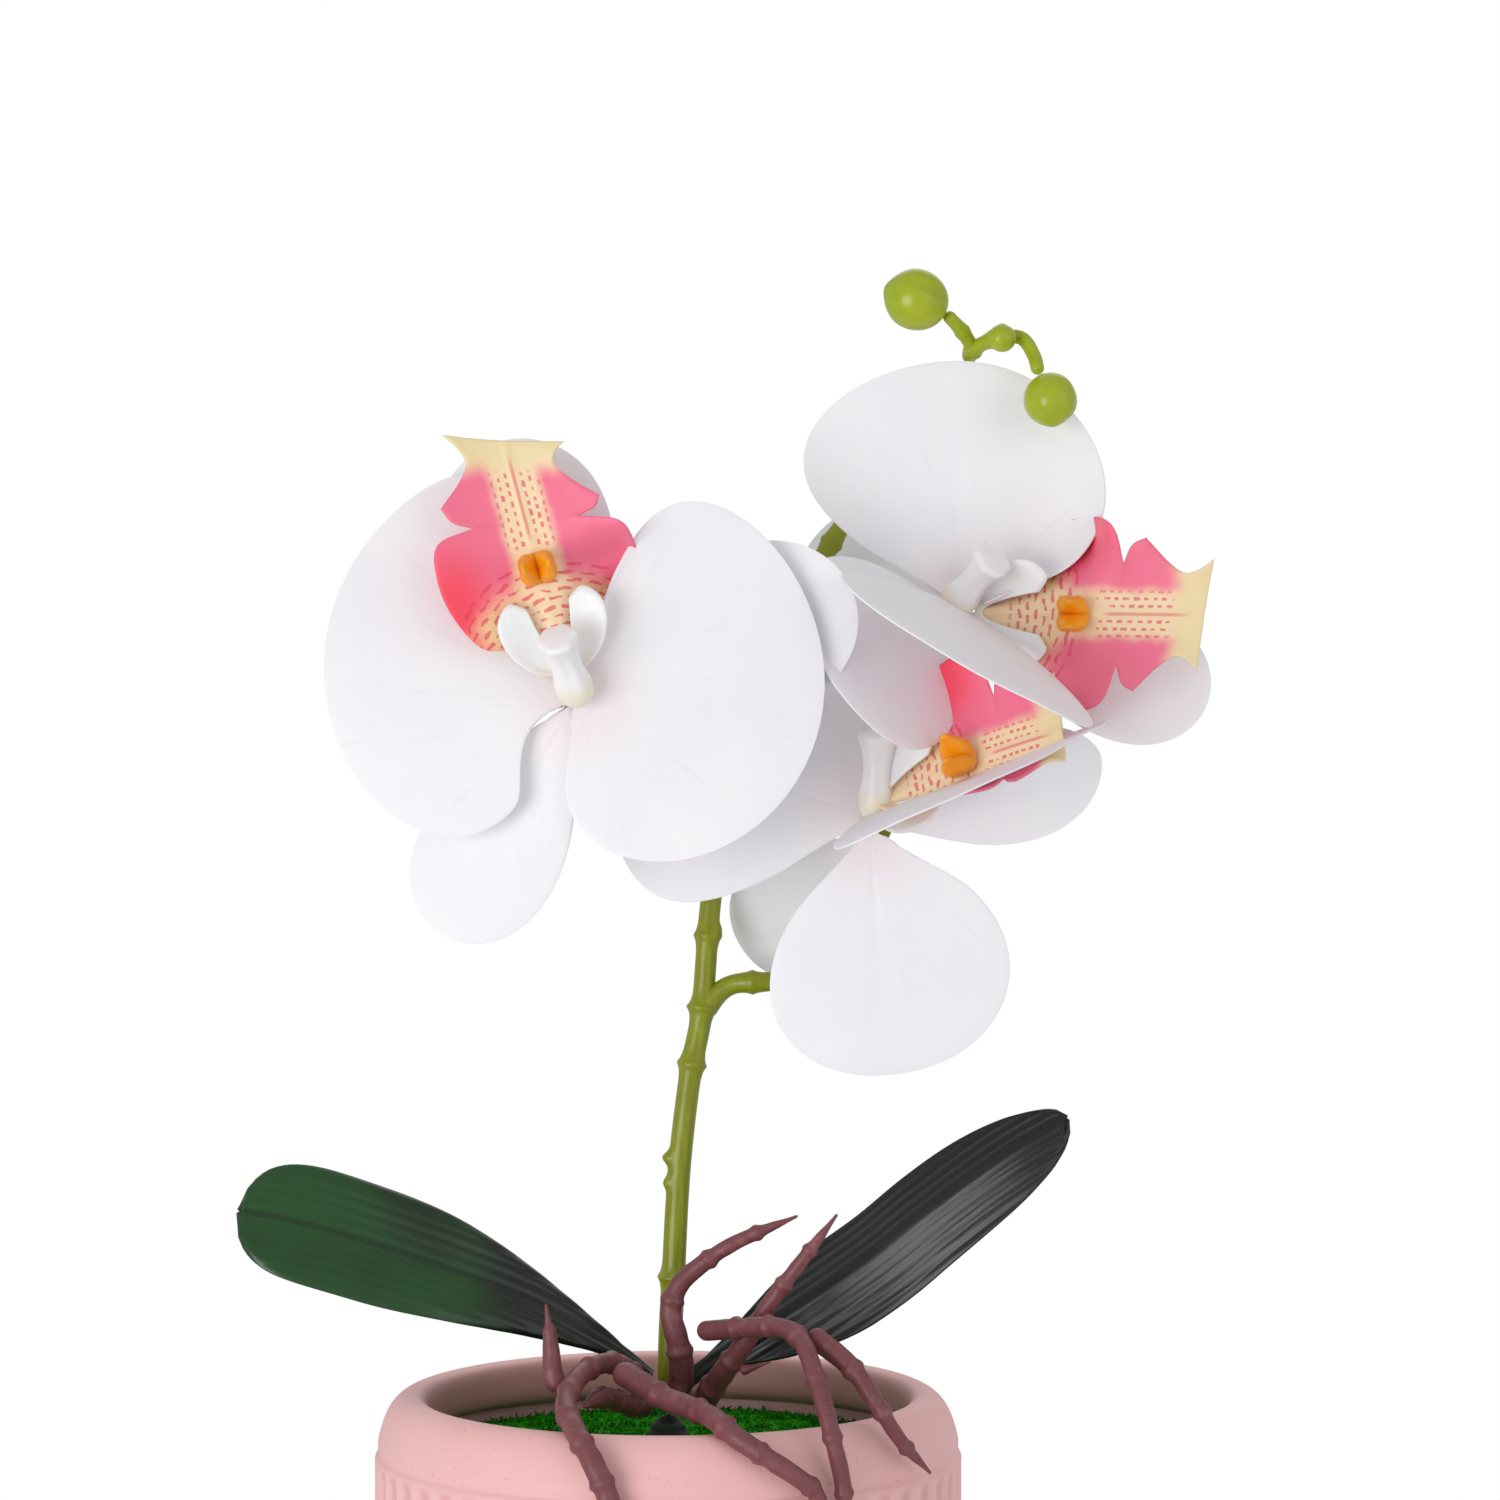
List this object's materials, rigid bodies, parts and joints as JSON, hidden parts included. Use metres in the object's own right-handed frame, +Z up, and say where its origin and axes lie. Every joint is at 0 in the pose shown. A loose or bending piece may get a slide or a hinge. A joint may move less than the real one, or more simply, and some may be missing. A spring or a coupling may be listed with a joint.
{
  "type": "artificial potted orchid",
  "caption": "Artificial moth orchid with white blooms, a bud spray, strap leaves and arching roots, set in a fluted round pink pot filled with green moss.",
  "frame": {"origin": "middle of the flat foot of the pot, on the surface that the pot stands on, on the pot's own axis", "axes": "+Z up along the pot's axis, -Y the way the blooms face, +X to the right of a viewer who looks along +Y"},
  "size_m": [0.1931, 0.1219, 0.3256],
  "materials": {
    "petal_foam": "satin",
    "lip_foam": "satin",
    "callus_plastic": "satin",
    "white_plastic": "satin",
    "stem_plastic": "satin",
    "bud_plastic": "satin",
    "leaf_plastic": "satin",
    "root_plastic": "satin",
    "sleeve_plastic": "matte",
    "moss_flock": "matte",
    "filler_foam": "matte",
    "pot_ceramic": "matte"
  },
  "bodies": {
    "root": {"pot": "pot_ceramic", "filler_core": "filler_foam", "moss_bed": "moss_flock", "stem_sleeve": "sleeve_plastic", "root_crown": "root_plastic", "flower_stem": "stem_plastic", "bud_stem": "bud_plastic", "bud_upper": "bud_plastic", "bud_middle": "bud_plastic", "bud_lower": "bud_plastic", "leaf_left": "leaf_plastic", "leaf_right": "leaf_plastic", "root_left_arch": "root_plastic", "root_left_spike": "root_plastic", "root_left_bridge": "root_plastic", "root_front": "root_plastic", "root_upper": "root_plastic", "root_middle": "root_plastic", "root_right_arch": "root_plastic", "root_right_fork": "root_plastic", "root_spur": "root_plastic", "left_bloom_petal_right": "petal_foam", "left_bloom_petal_left": "petal_foam", "left_bloom_sepal_lower": "petal_foam", "left_bloom_sepal_upper": "petal_foam", "left_bloom_sepal_right": "petal_foam", "left_bloom_lip": "lip_foam", "left_bloom_collar": "white_plastic", "left_bloom_callus": "callus_plastic", "left_bloom_calyx": "stem_plastic", "left_bloom_column": "white_plastic", "upper_bloom_petal_upper": "petal_foam", "upper_bloom_petal_lower": "petal_foam", "upper_bloom_sepal_left": "petal_foam", "upper_bloom_sepal_right": "petal_foam", "upper_bloom_sepal_lower": "petal_foam", "upper_bloom_lip": "lip_foam", "upper_bloom_collar": "white_plastic", "upper_bloom_callus": "callus_plastic", "upper_bloom_calyx": "stem_plastic", "upper_bloom_column": "white_plastic", "lower_bloom_petal_left": "petal_foam", "lower_bloom_petal_right": "petal_foam", "lower_bloom_sepal_lower": "petal_foam", "lower_bloom_sepal_right": "petal_foam", "lower_bloom_sepal_left": "petal_foam", "lower_bloom_lip": "lip_foam", "lower_bloom_collar": "white_plastic", "lower_bloom_callus": "callus_plastic", "lower_bloom_calyx": "stem_plastic", "lower_bloom_column": "white_plastic"}
  },
  "joints": []
}
